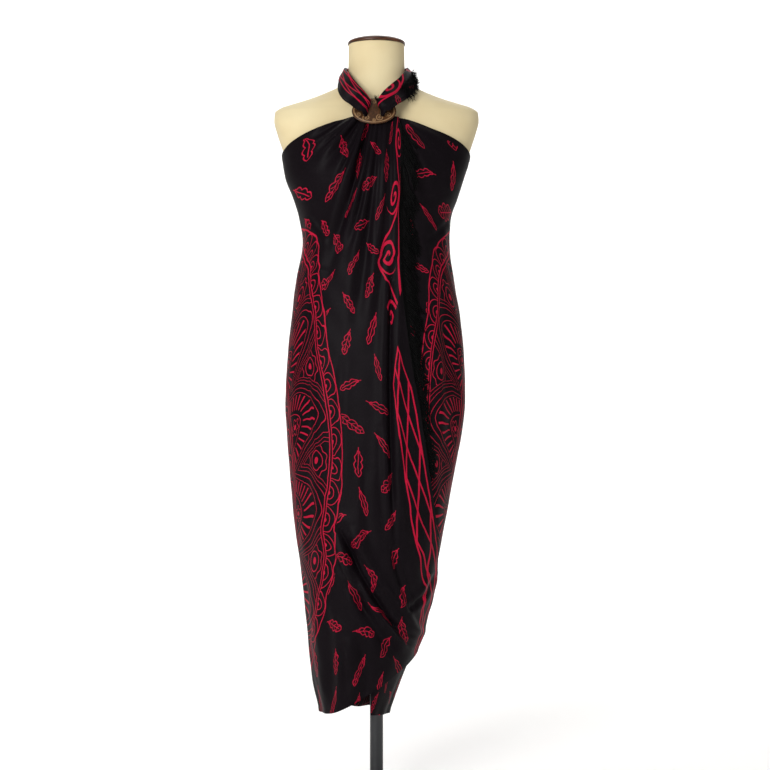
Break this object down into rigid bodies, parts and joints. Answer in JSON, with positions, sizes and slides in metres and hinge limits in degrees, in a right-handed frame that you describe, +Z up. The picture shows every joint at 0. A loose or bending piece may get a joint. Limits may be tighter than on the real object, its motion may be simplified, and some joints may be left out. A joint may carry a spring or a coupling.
{
  "type": "sarong tied as a halter dress, on a limbless dress form",
  "caption": "Printed sarong worn as a halter dress: wrapped round the body, its corners drawn through an oval two-slot buckle and tied at the nape, on a form with a round foot.",
  "frame": {"origin": "centre of the stand's base plate, on its underside, which stands on the floor", "axes": "+Z up, -Y to the front where the buckle is, +X to the right seen from the front"},
  "size_m": [0.3854, 0.3, 1.4385],
  "materials": {
    "printed_rayon": "soft, slight sheen, with a crimson line print",
    "rayon_fringe": "twisted threads",
    "jersey": "matt stretched jersey",
    "wood_cap": "varnished",
    "coconut_shell": "carved and oiled",
    "stand_steel": "satin powder coat"
  },
  "bodies": {
    "root": {"form_torso": "jersey", "neck_cap": "wood_cap", "stand_pole": "stand_steel", "stand_base": "stand_steel", "wrap_over": "printed_rayon", "wrap_under": "printed_rayon", "wrap_back": "printed_rayon", "halter_left": "printed_rayon", "halter_right": "printed_rayon", "nape_knot": "printed_rayon", "tail_left": "printed_rayon", "tail_right": "printed_rayon", "edge_fringe": "rayon_fringe", "strap_fringe": "rayon_fringe", "tail_fringe_left": "rayon_fringe", "tail_fringe_right": "rayon_fringe", "buckle": "coconut_shell"}
  },
  "joints": []
}
